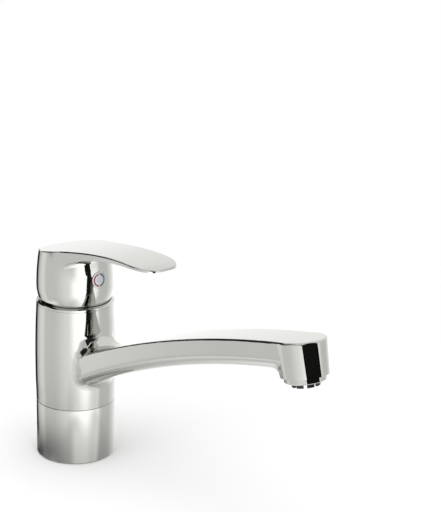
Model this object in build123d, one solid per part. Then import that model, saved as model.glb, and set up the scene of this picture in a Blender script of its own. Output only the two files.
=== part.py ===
"""Single-lever kitchen mixer tap with a swivelling cast spout.

All sizes are in millimetres. +Z is up. The origin is on the column's axis, on the worktop, under the base
gasket. The spout and the lever point along -Y. A distance u is measured from the column's axis towards the
spout's tip, so a point at u lies at Y = -u.
"""

from build123d import *
import os
from math import asin, cos, degrees, radians, sin, sqrt

os.makedirs("parts", exist_ok=True)

# Column
COLUMN_RADIUS = 28.0
COLUMN_SWELL = 0.35
RIM_RADIUS = 27.3
BASE_HEIGHT = 40.3
PARTING_GAP = 0.3
BODY_HEIGHT = 71.0
SWELL_SHARE = 0.6
EDGE_ROUND = 0.5

# Base sleeve and gasket
SLEEVE_WALL = 2.0
SLEEVE_SHELF_THICKNESS = 4.0
SLEEVE_SHELF_BORE = 17.0
FOOT_FLANGE_THICKNESS = 2.0
GASKET_HEIGHT = 3.0
GASKET_PROUD = 0.6
GASKET_WIDTH = 3.6
GASKET_INSET = 1.8
FLANGE_LIP = 1.0

# Running surfaces between the fixed body and the swivelling body
BORE_RADIUS = 24.0
LAND_GAP = 0.4
GLIDE_GAP = 0.05
FIXED_FIT = 0.1
FREE_GAP = 0.3
PRESS_GAP = 0.02
OVERCUT = 1.0

# Valve body
DISC_THICKNESS = 6.0
DISC_SUNK = 2.3
BODY_RECESS = 0.7
STEP_RISE = 1.0
LOWER_LAND_TOP = 56.0
UPPER_LAND_BOTTOM = 86.0
UPPER_LAND_HEIGHT = 9.5
LOWER_LAND_CONE = 2.0
UPPER_LAND_CONE = 3.0
WAIST_RADIUS = 14.5
CUP_RADIUS = 21.5
CUP_TOP = 104.5
SEAL_HEIGHT = 3.4
SEAL_DEPTH = 2.4
SEAL_SLACK = 0.1
SEAL_LIP_BOTTOM = 0.5
SEAL_LIP_TOP = 1.0
SEAL_NOTCH = 1.2
LOWER_SEAL_BOTTOM = 49.0
UPPER_SEAL_BOTTOM = 89.0
HOSE_BLOCK_RADIUS = 15.5
HOSE_BLOCK_BOTTOM = 14.0
HOSE_THREAD_RADIUS = 4.5
HOSE_THREAD_DEPTH = 12.0
HOSE_X = 8.0
HOSE_Y = 4.0
STUD_THREAD_RADIUS = 3.4
STUD_THREAD_DEPTH = 14.0
STUD_U = 9.0
PASSAGE_RADIUS = 3.0
OUTLET_RADIUS = 3.6
OUTLET_U = 8.5
OUTLET_LEVEL = 71.0

# Swivel stop
SWIVEL_LIMIT = 60.0
STOP_RADIUS = 2.0
STOP_REACH = 1.6
STOP_LENGTH = 9.0
STOP_LEVEL = 44.2
SLOT_GAP = 0.4
SOCKET_DEPTH = 1.2

# Cartridge
CARTRIDGE_RADIUS = 17.4
CARTRIDGE_FLOOR = 88.0
PORT_FLOOR_THICKNESS = 4.5
FIXED_DISC_THICKNESS = 4.0
MOVING_DISC_THICKNESS = 3.0
DISC_FILM = 0.02
SHOULDER_LEVEL = 101.0
NECK_RADIUS = 15.8
NECK_WALL = 1.8
NECK_TOP = 127.6
FIXED_DISC_RADIUS = 13.6
MOVING_DISC_RADIUS = 9.4
DISC_KEY_WIDTH = 4.0
DISC_KEY_DEPTH = 1.5
CHAMBER_Y = -1.0
CHAMBER_CENTRES = 5.0
CHAMBER_WIDTH = 8.0
CARRIER_RADIUS = 9.0
CARRIER_HEIGHT = 6.4
PEG_RADIUS = 1.0
PEG_LENGTH = 1.2
PEG_Y = 6.9
TONGUE_X = 6.5
TONGUE_WIDTH = 2.0
TONGUE_REACH = 11.0
TONGUE_BOTTOM = 104.9
NUT_RADIUS = 19.0
NUT_SLOT_DEPTH = 1.4
NUT_SLOT_WIDTH = 2.4
NUT_SLOT_INNER = 17.4
SEAL_CORD = 1.2

# Lever movement
PIVOT_HEIGHT = 125.0
LEVER_LEAN = 10.0
TURN_LIMIT = 50.0
BALL_ARM = 21.9
BALL_RADIUS = 3.2
BALL_GAP = 0.35
PIN_RADIUS = 1.5
PIN_GAP = 0.05
SPINDLE_SIDE = 8.0
SPINDLE_NECK = 5.0
SPINDLE_TOP = 17.0
SPINDLE_HEEL = 4.0
SPINDLE_CHAMFER = 0.8
SCREW_LEVEL = 13.1
SCREW_RADIUS = 2.4
SCREW_LENGTH = 10.0
SCREW_SOCKET = 2.0

# Rotor and temperature stop
ROTOR_BOTTOM = 107.2
ROTOR_GAP = 0.08
ROTOR_CROWN_RADIUS = 9.6
ARM_ROOM = 1.2
HEAD_ROOM = 1.6
HEEL_ROOM = 1.0
STOP_RING_INNER = 10.2
STOP_RING_HEIGHT = 2.2
LUG_REACH = 2.2
LUG_WIDTH = 3.0

# Cap ring and dome cover, both centred on the lever's pivot
SKIRT_RADIUS = 27.1
SKIRT_WALL = 2.4
SKIRT_BOTTOM = 113.6
MOUTH_GAP = 0.4
MOUTH_HEIGHT = 114.2
SHOULDER_FOOT = 0.6
CAP_WALL_RADIUS = 24.9
CAP_BOTTOM = 98.0
DOME_GAP = 0.4
DOME_WALL = 1.2
DOME_TOP = 126.4
DOME_COLLAR = 2.0

# Lever handle
CUP_BULGE_RADIUS = 152.0
LEVER_TOP = [
    (-31.1, 146.6),
    (0.0, 152.0),
    (35.5, 157.3),
    (71.0, 159.3),
    (100.0, 156.3),
]
LEVER_PLAN = [
    (22.9, -2.0),
    (21.6, -12.0),
    (18.4, -40.0),
    (17.0, -74.0),
    (15.6, -86.0),
    (11.0, -93.2),
    (0.0, -95.0),
]
LEVER_UNDER = [
    (0.0, 141.5),
    (27.1, 149.6),
    (42.0, 153.7),
    (58.0, 155.9),
    (75.0, 156.7),
    (98.0, 155.2),
]
LEVER_BLEND = 4.0
LEVER_BLOCK_TOP = 162.0
ROOF_THICKNESS = 4.0
LEVER_EDGE = 0.8
BOSS_HALF_WIDTH = 9.0
BOSS_WALL = 2.4
BOSS_BOTTOM = 5.8
BUSH_SIDE = 12.0
BUSH_GAP = 0.05
SCREW_TUBE_RADIUS = 6.8

# Index plug
PLUG_HEIGHT = 133.5
PLUG_RADIUS = 5.7
PLUG_SHANK_RADIUS = 4.7
PLUG_SHANK_LENGTH = 4.5
PLUG_SHANK_WALL = 1.2
PLUG_FACE = 0.5
PLUG_FLANGE = 1.8
PLUG_PROUD = 0.4
MARK_OUTER = 4.8
MARK_INNER = 3.4
MARK_DEPTH = 0.5
MARK_SPLIT = 0.5

# Spout
SPOUT_ROOT_TOP = 82.6
SPOUT_TOP_SLOPE = 25.8
SPOUT_TOP_CURVE = 745.0
SPOUT_ROOT_BOTTOM = 60.1
SPOUT_BOTTOM_SLOPE = 28.3
SPOUT_BOTTOM_CURVE = 640.0
SPOUT_ROOT_HALF = 16.2
SPOUT_TIP_HALF = 14.6
SPOUT_CORNER = 9.0
SPOUT_WALL = 2.6
SPOUT_EDGE = 1.3
SPOUT_ROOT_FILLET = 9.0
VALLEY_BAND = 5.0
SPOUT_STATIONS = 7
SPOUT_START_U = 15.0
SPOUT_SPARE_TOP = 6.0
CHANNEL_START_U = 18.0

# Nozzle and aerator, along an axis that leans outwards at its foot
NOZZLE_U = 217.0
NOZZLE_RIM_HEIGHT = 122.8
NOZZLE_LEAN = 12.0
NOZZLE_RIM_RADIUS = 14.5
NOZZLE_TOP_RADIUS = 15.3
NOZZLE_LENGTH = 21.0
NOZZLE_FILLET = 7.0
NOZZLE_EXTRA = 14.0
NOZZLE_MARGIN = 2.0
SPOUT_HIGHEST = 160.0
THREAD_RADIUS = 12.0
THREAD_DEPTH = 8.6
THREAD_FIT = 0.05
COLLAR_RADIUS = 12.45
COLLAR_HEIGHT = 3.6
COLLAR_BORE = 10.4
NOZZLE_CHANNEL = 9.5
INSERT_GAP = 0.1
INSERT_SUNK = 0.4
INSERT_DISH = 2.0
CASTLE_RADIUS = 8.3
CASTLE_WALL = 1.6
CASTLE_HEIGHT = 3.2
CASTLE_TEETH = 8
CASTLE_NOTCH = 14.0
CASTLE_START = 5.0
SCREEN_THICKNESS = 0.6
WASHER_THICKNESS = 1.6

# Levels and radii worked out from the sizes above
BODY_BOTTOM = BASE_HEIGHT + PARTING_GAP
BODY_TOP = BODY_BOTTOM + BODY_HEIGHT
CAP_FOOT = BODY_TOP + PARTING_GAP
LAND_RADIUS = BORE_RADIUS - LAND_GAP
GUIDE_RADIUS = BORE_RADIUS - GLIDE_GAP
SLEEVE_BORE = COLUMN_RADIUS - SLEEVE_WALL
SHELF_TOP = BASE_HEIGHT - DISC_THICKNESS - DISC_SUNK
DISC_TOP = SHELF_TOP + DISC_THICKNESS
GLIDE_TOP = BODY_BOTTOM + BODY_RECESS
POCKET_RADIUS = CAP_WALL_RADIUS + FREE_GAP
UPPER_LAND_TOP = UPPER_LAND_BOTTOM + UPPER_LAND_HEIGHT
STEP_LEVEL = UPPER_LAND_TOP + STEP_RISE
CARTRIDGE_BORE = CARTRIDGE_RADIUS + FIXED_FIT
HOUSING_BOTTOM = CARTRIDGE_FLOOR + PORT_FLOOR_THICKNESS
FIXED_DISC_TOP = HOUSING_BOTTOM + FIXED_DISC_THICKNESS
MOVING_DISC_BOTTOM = FIXED_DISC_TOP + DISC_FILM
CARRIER_BOTTOM = MOVING_DISC_BOTTOM + MOVING_DISC_THICKNESS
CARRIER_TOP = CARRIER_BOTTOM + CARRIER_HEIGHT
NECK_BORE = NECK_RADIUS - NECK_WALL
ROTOR_RADIUS = NECK_BORE - ROTOR_GAP
STOP_RING_TOP = NECK_TOP
STOP_RING_BOTTOM = STOP_RING_TOP - STOP_RING_HEIGHT
SKIRT_BORE = SKIRT_RADIUS - SKIRT_WALL
DOME_RADIUS = SKIRT_BORE - DOME_GAP
MOUTH_RADIUS = SKIRT_RADIUS + MOUTH_GAP
DISC_SHIFT = BALL_ARM * sin(radians(LEVER_LEAN))
THREAD_TOP = -THREAD_DEPTH
SPOUT_END_U = NOZZLE_U - NOZZLE_LENGTH * sin(radians(NOZZLE_LEAN))
COLLAR_THREAD_TOP = THREAD_TOP + WASHER_THICKNESS

# Planes: a side view with u across and z up, and the lever's frame along the leaning spindle
SIDE = Plane(origin=(0, 0, 0), x_dir=(0, -1, 0), z_dir=(-1, 0, 0))
SPINDLE = Pos(0, 0, PIVOT_HEIGHT) * Rot(LEVER_LEAN, 0, 0)
NOZZLE = Pos(0, -NOZZLE_U, NOZZLE_RIM_HEIGHT) * Rot(180 - NOZZLE_LEAN, 0, 0)

FROM_BOTTOM = (Align.CENTER, Align.CENTER, Align.MIN)
BEHIND = (Align.CENTER, Align.MIN, Align.CENTER)
RIGHT_SIDE = (Align.MIN, Align.CENTER, Align.CENTER)


def cylinder(radius, bottom, top):
    """Upright cylinder between two levels."""
    return Pos(0, 0, bottom) * Cylinder(radius, top - bottom, align=FROM_BOTTOM)


def tube(inner, outer, bottom, top):
    """Upright ring between two levels."""
    return cylinder(outer, bottom, top) - cylinder(inner, bottom, top)


def rod(radius, start, end):
    """Cylinder from one point to another."""
    path = Vector(*end) - Vector(*start)
    return extrude(Plane(origin=start, z_dir=path) * Circle(radius), path.length)


def top_face(solid):
    """Largest face that looks upwards."""
    return solid.faces().filter_by(lambda face: face.normal_at().Z > 0.8).sort_by(SortBy.AREA)[-1]


def across(outline, half_width):
    """Solid from a closed outline of u and height, spread evenly to both sides."""
    return extrude(SIDE.offset(-half_width) * make_face(Wire(outline)), 2 * half_width)


def turned(*edges):
    """Solid of revolution about Z from a closed outline of radius and height."""
    return revolve(Plane.XZ * make_face(Wire(edges)), Axis.Z)


def polygon_turned(*points):
    """Solid of revolution about Z from a closed polygon of radius and height."""
    return revolve(Plane.XZ * make_face(Polyline(*points, close=True)), Axis.Z)


def sector(points, half_angle):
    """Part turn of a closed polygon of radius and height, spread evenly about the +Y direction."""
    profile = Plane.XZ * make_face(Polyline(*points, close=True))
    return Rot(0, 0, 90 - half_angle) * revolve(profile, Axis.Z, revolution_arc=2 * half_angle)


def sphere_radius(sphere, level):
    """Radius at a level of a sphere about the lever's pivot."""
    return sqrt(sphere**2 - (level - PIVOT_HEIGHT) ** 2)


def sphere_level(sphere, radius):
    """Level below the pivot at which a sphere about the pivot has a radius."""
    return PIVOT_HEIGHT - sqrt(sphere**2 - radius**2)


def pivot_arc(sphere, start_level, end_level):
    """Arc about the lever's pivot between two levels, in radius and height."""
    middle = (start_level + end_level) / 2
    return ThreePointArc(
        (sphere_radius(sphere, start_level), start_level),
        (sphere_radius(sphere, middle), middle),
        (sphere_radius(sphere, end_level), end_level),
    )


def curve_height(u, root_height, root_slope, curve):
    """Height at u of an arc that leaves the column's face with a given slope and levels out."""
    start = radians(root_slope)
    here = asin(sin(start) - (u - COLUMN_RADIUS) / curve)
    return root_height + curve * (cos(here) - cos(start))


def spout_top(u):
    """Height of the spout's flat top face."""
    return curve_height(u, SPOUT_ROOT_TOP, SPOUT_TOP_SLOPE, SPOUT_TOP_CURVE)


def spout_bottom(u):
    """Height of the spout's underside."""
    return curve_height(u, SPOUT_ROOT_BOTTOM, SPOUT_BOTTOM_SLOPE, SPOUT_BOTTOM_CURVE)


def spout_half(u):
    """Half width of the spout, tapering evenly from the column to the nozzle."""
    share = (u - COLUMN_RADIUS) / (NOZZLE_U - COLUMN_RADIUS)
    return SPOUT_ROOT_HALF + (SPOUT_TIP_HALF - SPOUT_ROOT_HALF) * share


def spout_section(u, inset, extra_height):
    """Cross-section of the spout at u: flat top, upright sides and rounded lower corners."""
    half = spout_half(u) - inset
    top = spout_top(u) - inset + extra_height
    bottom = spout_bottom(u) + inset
    corner = SPOUT_CORNER - inset
    low = bottom + corner
    inner = half - corner
    outline = [
        Line((-half, low), (-half, top)),
        Line((-half, top), (half, top)),
        Line((half, top), (half, low)),
        CenterArc((inner, low), corner, 0, -90),
        Line((inner, bottom), (-inner, bottom)),
        CenterArc((-inner, low), corner, -90, -90),
    ]
    plane = Plane(origin=(0, -u, 0), x_dir=(1, 0, 0), z_dir=(0, -1, 0))
    return plane * make_face(Wire(outline))


def spout_bar(first_u, last_u, inset, extra_height):
    """Loft of the spout's sections between two distances."""
    step = (last_u - first_u) / (SPOUT_STATIONS - 1)
    stations = [first_u + step * i for i in range(SPOUT_STATIONS)]
    return loft([spout_section(u, inset, extra_height) for u in stations])


def above_spout(first_u, last_u):
    """Block above the spout's top face."""
    middle = (first_u + last_u) / 2
    ceiling = spout_top(last_u) + NOZZLE_LENGTH + NOZZLE_EXTRA
    outline = [
        ThreePointArc(*[(u, spout_top(u)) for u in (first_u, middle, last_u)]),
        Line((last_u, spout_top(last_u)), (last_u, ceiling)),
        Line((last_u, ceiling), (first_u, ceiling)),
        Line((first_u, ceiling), (first_u, spout_top(first_u))),
    ]
    return across(outline, 2 * COLUMN_RADIUS)


def base_sleeve():
    """Fixed chromed column with a foot flange for the gasket and a shelf for the valve body."""
    foot = GASKET_PROUD
    pocket_top = GASKET_HEIGHT
    flange_top = pocket_top + FOOT_FLANGE_THICKNESS
    flange_bore = COLUMN_RADIUS - GASKET_INSET - GASKET_WIDTH - FLANGE_LIP
    pocket = COLUMN_RADIUS - GASKET_INSET + FREE_GAP
    shelf_bottom = SHELF_TOP - SLEEVE_SHELF_THICKNESS
    sleeve = polygon_turned(
        (COLUMN_RADIUS, foot),
        (COLUMN_RADIUS, BASE_HEIGHT),
        (SLEEVE_BORE, BASE_HEIGHT),
        (SLEEVE_BORE, SHELF_TOP),
        (SLEEVE_SHELF_BORE, SHELF_TOP),
        (SLEEVE_SHELF_BORE, shelf_bottom),
        (SLEEVE_BORE, shelf_bottom),
        (SLEEVE_BORE, flange_top),
        (flange_bore, flange_top),
        (flange_bore, pocket_top),
        (pocket, pocket_top),
        (pocket, foot),
    )
    rims = sleeve.edges().filter_by(GeomType.CIRCLE).filter_by(lambda e: abs(e.radius - COLUMN_RADIUS) < 0.01)
    return chamfer(rims, EDGE_ROUND / 2)


def base_gasket():
    """Rubber ring that the tap stands on."""
    outer = COLUMN_RADIUS - GASKET_INSET
    return tube(outer - GASKET_WIDTH, outer, 0, GASKET_HEIGHT)


def valve_body():
    """Brass casting: hose block, disc, seal lands, slim waist and cup for the cartridge."""
    groove = LAND_RADIUS - SEAL_DEPTH
    thread = NUT_RADIUS + FIXED_FIT
    body = polygon_turned(
        (0, HOSE_BLOCK_BOTTOM),
        (HOSE_BLOCK_RADIUS, HOSE_BLOCK_BOTTOM),
        (HOSE_BLOCK_RADIUS, SHELF_TOP),
        (SLEEVE_BORE - FIXED_FIT, SHELF_TOP),
        (SLEEVE_BORE - FIXED_FIT, DISC_TOP),
        (LAND_RADIUS, DISC_TOP),
        (LAND_RADIUS, LOWER_SEAL_BOTTOM),
        (groove, LOWER_SEAL_BOTTOM),
        (groove, LOWER_SEAL_BOTTOM + SEAL_HEIGHT),
        (LAND_RADIUS, LOWER_SEAL_BOTTOM + SEAL_HEIGHT),
        (LAND_RADIUS, LOWER_LAND_TOP),
        (WAIST_RADIUS, LOWER_LAND_TOP + LOWER_LAND_CONE),
        (WAIST_RADIUS, UPPER_LAND_BOTTOM - UPPER_LAND_CONE),
        (LAND_RADIUS, UPPER_LAND_BOTTOM),
        (LAND_RADIUS, UPPER_SEAL_BOTTOM),
        (groove, UPPER_SEAL_BOTTOM),
        (groove, UPPER_SEAL_BOTTOM + SEAL_HEIGHT),
        (LAND_RADIUS, UPPER_SEAL_BOTTOM + SEAL_HEIGHT),
        (LAND_RADIUS, UPPER_LAND_TOP),
        (CUP_RADIUS, UPPER_LAND_TOP),
        (CUP_RADIUS, CUP_TOP),
        (thread, CUP_TOP),
        (thread, SHOULDER_LEVEL),
        (CARTRIDGE_BORE, SHOULDER_LEVEL),
        (CARTRIDGE_BORE, CARTRIDGE_FLOOR),
        (0, CARTRIDGE_FLOOR),
    )
    for side in (-1, 1):
        x, y = side * HOSE_X, HOSE_Y
        thread_top = HOSE_BLOCK_BOTTOM + HOSE_THREAD_DEPTH
        body -= rod(HOSE_THREAD_RADIUS, (x, y, HOSE_BLOCK_BOTTOM), (x, y, thread_top))
        body -= rod(PASSAGE_RADIUS, (x, y, thread_top), (x, y, CARTRIDGE_FLOOR))
    stud_top = HOSE_BLOCK_BOTTOM + STUD_THREAD_DEPTH
    body -= rod(STUD_THREAD_RADIUS, (0, -STUD_U, HOSE_BLOCK_BOTTOM), (0, -STUD_U, stud_top))
    body -= rod(OUTLET_RADIUS, (0, -OUTLET_U, OUTLET_LEVEL), (0, -OUTLET_U, CARTRIDGE_FLOOR))
    body -= rod(OUTLET_RADIUS, (0, -OUTLET_U, OUTLET_LEVEL), (0, -WAIST_RADIUS - OVERCUT, OUTLET_LEVEL))
    stop_inner = LAND_RADIUS + STOP_REACH - STOP_LENGTH
    stop_thread = STOP_RADIUS + PRESS_GAP
    body -= rod(stop_thread, (0, stop_inner, STOP_LEVEL), (0, LAND_RADIUS + OVERCUT, STOP_LEVEL))
    return body


def swivel_stop_screw():
    """Set screw in the lower land, whose nose runs in the swivelling body's slot."""
    nose = LAND_RADIUS + STOP_REACH
    screw = rod(STOP_RADIUS, (0, nose - STOP_LENGTH, STOP_LEVEL), (0, nose, STOP_LEVEL))
    socket = Pos(0, nose, STOP_LEVEL) * Rot(90, 0, 0) * RegularPolygon(STOP_RADIUS / 2, 6)
    return screw - extrude(socket, SOCKET_DEPTH)


def lower_glide_ring():
    """Plastic ring between the valve body's disc and the swivelling body."""
    return tube(LAND_RADIUS + GLIDE_GAP, SLEEVE_BORE - FREE_GAP, DISC_TOP, GLIDE_TOP)


def upper_glide_ring():
    """Plastic ring between the swivelling body's step and the cap ring."""
    return tube(CUP_RADIUS + FREE_GAP, POCKET_RADIUS - GLIDE_GAP, STEP_LEVEL, CAP_BOTTOM)


def spout_seals():
    """Two rubber rings with a lip each, above and below the water chamber."""
    inner = LAND_RADIUS - SEAL_DEPTH + GLIDE_GAP
    rings = []
    for bottom in (LOWER_SEAL_BOTTOM, UPPER_SEAL_BOTTOM):
        low = bottom + SEAL_SLACK
        high = bottom + SEAL_HEIGHT - SEAL_SLACK
        notch = (inner + GUIDE_RADIUS) / 2
        rings.append(
            polygon_turned(
                (inner, low),
                (LAND_RADIUS, low),
                (GUIDE_RADIUS, low + SEAL_LIP_BOTTOM),
                (GUIDE_RADIUS, low + SEAL_LIP_TOP),
                (LAND_RADIUS, high),
                (notch, high - SEAL_NOTCH),
                (inner, high),
            )
        )
    return rings


def stop_slot():
    """Arc-shaped slot in the swivelling body's bore for the stop screw."""
    nose = LAND_RADIUS + STOP_REACH
    half_angle = SWIVEL_LIMIT + degrees(asin((STOP_RADIUS + SLOT_GAP) / LAND_RADIUS))
    outer = nose + SLOT_GAP
    top = STOP_LEVEL + STOP_RADIUS + SLOT_GAP
    inner = BORE_RADIUS - OVERCUT
    return sector([(inner, GLIDE_TOP), (outer, GLIDE_TOP), (outer, top), (inner, top)], half_angle)


def nozzle_cylinder(radius, top, bottom):
    """Cylinder on the nozzle's axis; distances run downwards from the rim."""
    return NOZZLE * cylinder(radius, top, bottom)


def nozzle_shell():
    """Tapered nozzle, long enough to pass the spout's top face and to run on below the rim."""
    slope = (NOZZLE_TOP_RADIUS - NOZZLE_RIM_RADIUS) / NOZZLE_LENGTH
    above = NOZZLE_LENGTH + NOZZLE_EXTRA
    below = NOZZLE_EXTRA
    cone = Cone(
        NOZZLE_RIM_RADIUS + slope * above, NOZZLE_RIM_RADIUS - slope * below, above + below, align=FROM_BOTTOM
    )
    return NOZZLE * Pos(0, 0, -above) * cone


def is_nozzle_root(edge):
    """Whether an edge stands where the spout's sides and underside run into the nozzle."""
    box = edge.bounding_box()
    behind_axis = box.max.Y < NOZZLE_TOP_RADIUS + NOZZLE_MARGIN - NOZZLE_U
    return behind_axis and NOZZLE_RIM_HEIGHT - NOZZLE_MARGIN < box.min.Z < box.max.Z < SPOUT_HIGHEST


def spout_arm():
    """Cast arm with the nozzle: outer shape only, with a flat top and rounded edges."""
    arm = spout_bar(SPOUT_START_U, SPOUT_END_U, 0, SPOUT_SPARE_TOP) + nozzle_shell()
    arm = fillet(arm.edges().filter_by(is_nozzle_root), NOZZLE_FILLET)
    arm -= nozzle_cylinder(2 * NOZZLE_RIM_RADIUS, 0, 2 * NOZZLE_EXTRA)
    arm -= above_spout(0, NOZZLE_U + 2 * NOZZLE_RIM_RADIUS)
    return fillet(top_face(arm).edges(), SPOUT_EDGE)


def is_spout_valley(edge):
    """Whether an edge lies between the column and the spout's top face."""
    low, high = edge.bounding_box().min, edge.bounding_box().max
    at_root = low.Y < -BORE_RADIUS and high.Y < -BORE_RADIUS / 2
    return at_root and SPOUT_ROOT_TOP - VALLEY_BAND < low.Z < high.Z < SPOUT_ROOT_TOP + VALLEY_BAND


def spout_body():
    """Swivelling body with the cast spout, its water channel and the nozzle."""
    swell_level = BODY_BOTTOM + BODY_HEIGHT * SWELL_SHARE
    column = turned(
        Spline(
            (COLUMN_RADIUS, BODY_BOTTOM),
            (COLUMN_RADIUS + COLUMN_SWELL, swell_level),
            (RIM_RADIUS, BODY_TOP),
        ),
        Line((RIM_RADIUS, BODY_TOP), (0, BODY_TOP)),
        Line((0, BODY_TOP), (0, BODY_BOTTOM)),
        Line((0, BODY_BOTTOM), (COLUMN_RADIUS, BODY_BOTTOM)),
    )
    body = column + spout_arm()
    body = fillet(body.edges().filter_by(is_spout_valley), SPOUT_ROOT_FILLET)
    body -= cylinder(BORE_RADIUS, BODY_BOTTOM, STEP_LEVEL)
    body -= cylinder(POCKET_RADIUS, STEP_LEVEL, BODY_TOP)
    body -= cylinder(SLEEVE_BORE + PARTING_GAP, BODY_BOTTOM, GLIDE_TOP)
    body -= stop_slot()
    channel = spout_bar(CHANNEL_START_U, SPOUT_END_U, SPOUT_WALL, 0)
    channel += nozzle_cylinder(NOZZLE_CHANNEL, THREAD_TOP - SPOUT_SPARE_TOP, THREAD_TOP)
    body -= channel
    body -= nozzle_cylinder(THREAD_RADIUS, THREAD_TOP, OVERCUT)
    return body


def aerator_housing():
    """Chromed ring screwed into the nozzle, with a collar below the rim."""
    outer = THREAD_RADIUS - THREAD_FIT
    ring = turned(
        *Polyline(
            (COLLAR_BORE, COLLAR_THREAD_TOP),
            (outer, COLLAR_THREAD_TOP),
            (outer, 0),
            (COLLAR_RADIUS, 0),
            (COLLAR_RADIUS, COLLAR_HEIGHT - EDGE_ROUND),
            (COLLAR_RADIUS - EDGE_ROUND, COLLAR_HEIGHT),
            (COLLAR_BORE, COLLAR_HEIGHT),
            close=True,
        ).edges()
    )
    return NOZZLE * ring


def aerator_insert():
    """Dark plastic insert with castle teeth for the key."""
    radius = COLLAR_BORE - INSERT_GAP
    top = COLLAR_THREAD_TOP + SCREEN_THICKNESS
    face = COLLAR_HEIGHT - INSERT_SUNK
    insert = cylinder(radius, top, face)
    insert -= cylinder(CASTLE_RADIUS - CASTLE_WALL, face - INSERT_DISH, face)
    tooth_foot = face + CASTLE_HEIGHT
    castle = tube(CASTLE_RADIUS - CASTLE_WALL, CASTLE_RADIUS, face, tooth_foot)
    notch_width = 2 * CASTLE_RADIUS * sin(radians(CASTLE_NOTCH / 2))
    for i in range(CASTLE_TEETH):
        notch = Box(2 * CASTLE_RADIUS, notch_width, CASTLE_HEIGHT, align=(Align.MIN, Align.CENTER, Align.MIN))
        castle -= Rot(0, 0, 360 / CASTLE_TEETH * i + CASTLE_START) * Pos(0, 0, face) * notch
    return NOZZLE * (insert + castle)


def aerator_screen():
    """Fine mesh over the insert, as a thin disc."""
    return nozzle_cylinder(COLLAR_BORE - INSERT_GAP, COLLAR_THREAD_TOP, COLLAR_THREAD_TOP + SCREEN_THICKNESS)


def aerator_seal():
    """Flat washer between the aerator and the nozzle's seat."""
    outer = THREAD_RADIUS - THREAD_FIT
    return NOZZLE * tube(NOZZLE_CHANNEL, outer, THREAD_TOP, COLLAR_THREAD_TOP)


def cap_ring():
    """Fixed ring over the swivelling body, hollowed about the pivot for the lever's cup."""
    bore = CUP_RADIUS + FIXED_FIT
    mouth = sphere_radius(MOUTH_RADIUS, MOUTH_HEIGHT)
    bore_top = sphere_level(MOUTH_RADIUS, bore)
    foot_top = CAP_FOOT + SHOULDER_FOOT
    return turned(
        pivot_arc(MOUTH_RADIUS, MOUTH_HEIGHT, bore_top),
        Line((bore, bore_top), (bore, CAP_BOTTOM)),
        Line((bore, CAP_BOTTOM), (CAP_WALL_RADIUS, CAP_BOTTOM)),
        Line((CAP_WALL_RADIUS, CAP_BOTTOM), (CAP_WALL_RADIUS, CAP_FOOT)),
        Line((CAP_WALL_RADIUS, CAP_FOOT), (RIM_RADIUS, CAP_FOOT)),
        Line((RIM_RADIUS, CAP_FOOT), (RIM_RADIUS, foot_top)),
        Line((RIM_RADIUS, foot_top), (mouth, MOUTH_HEIGHT)),
    )


def port_places():
    """X, Y and radius of the cartridge's three ports: hot, cold and outlet."""
    return [
        (-HOSE_X, HOSE_Y, PASSAGE_RADIUS),
        (HOSE_X, HOSE_Y, PASSAGE_RADIUS),
        (0, -OUTLET_U, OUTLET_RADIUS),
    ]


def ported(solid, bottom, top):
    """A piece with the three ports cut through it."""
    for x, y, radius in port_places():
        solid -= rod(radius, (x, y, bottom), (x, y, top))
    return solid


def cartridge_base():
    """Plastic floor of the cartridge, with seats for the port seals under it."""
    floor = cylinder(CARTRIDGE_RADIUS, CARTRIDGE_FLOOR, HOUSING_BOTTOM)
    base = ported(floor, CARTRIDGE_FLOOR, HOUSING_BOTTOM)
    for x, y, radius in port_places():
        seat = rod(radius + SEAL_CORD, (x, y, CARTRIDGE_FLOOR), (x, y, CARTRIDGE_FLOOR + SEAL_CORD))
        base -= seat
    return base


def port_seals():
    """Three rubber rings under the cartridge's ports."""
    return [
        Pos(x, y, 0) * tube(radius, radius + SEAL_CORD, CARTRIDGE_FLOOR, CARTRIDGE_FLOOR + SEAL_CORD)
        for x, y, radius in port_places()
    ]


def fixed_disc():
    """Lower ceramic disc with three ports and a flat that keeps it from turning."""
    blank = cylinder(FIXED_DISC_RADIUS, HOUSING_BOTTOM, FIXED_DISC_TOP)
    disc = ported(blank, HOUSING_BOTTOM, FIXED_DISC_TOP)
    key = Box(DISC_KEY_WIDTH, 2 * FIXED_DISC_RADIUS, FIXED_DISC_THICKNESS, align=FROM_BOTTOM)
    return disc - Pos(0, 2 * FIXED_DISC_RADIUS - DISC_KEY_DEPTH, HOUSING_BOTTOM) * key


def peg_places():
    """Y of the two pegs that hold the moving disc to its carrier."""
    return [PEG_Y, -PEG_Y]


def moving_disc():
    """Upper ceramic disc with the mixing chamber in its lower face and two pockets for the carrier's pegs."""
    disc = cylinder(MOVING_DISC_RADIUS, MOVING_DISC_BOTTOM, CARRIER_BOTTOM)
    chamber_height = MOVING_DISC_THICKNESS / 2
    chamber = Pos(0, CHAMBER_Y, MOVING_DISC_BOTTOM) * extrude(
        SlotCenterToCenter(CHAMBER_CENTRES, CHAMBER_WIDTH), chamber_height
    )
    disc -= chamber
    pocket_floor = CARRIER_BOTTOM - PEG_LENGTH - GLIDE_GAP
    for y in peg_places():
        disc -= rod(PEG_RADIUS + GLIDE_GAP, (0, y, pocket_floor), (0, y, CARRIER_BOTTOM))
    return Pos(0, DISC_SHIFT, 0) * disc


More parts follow.
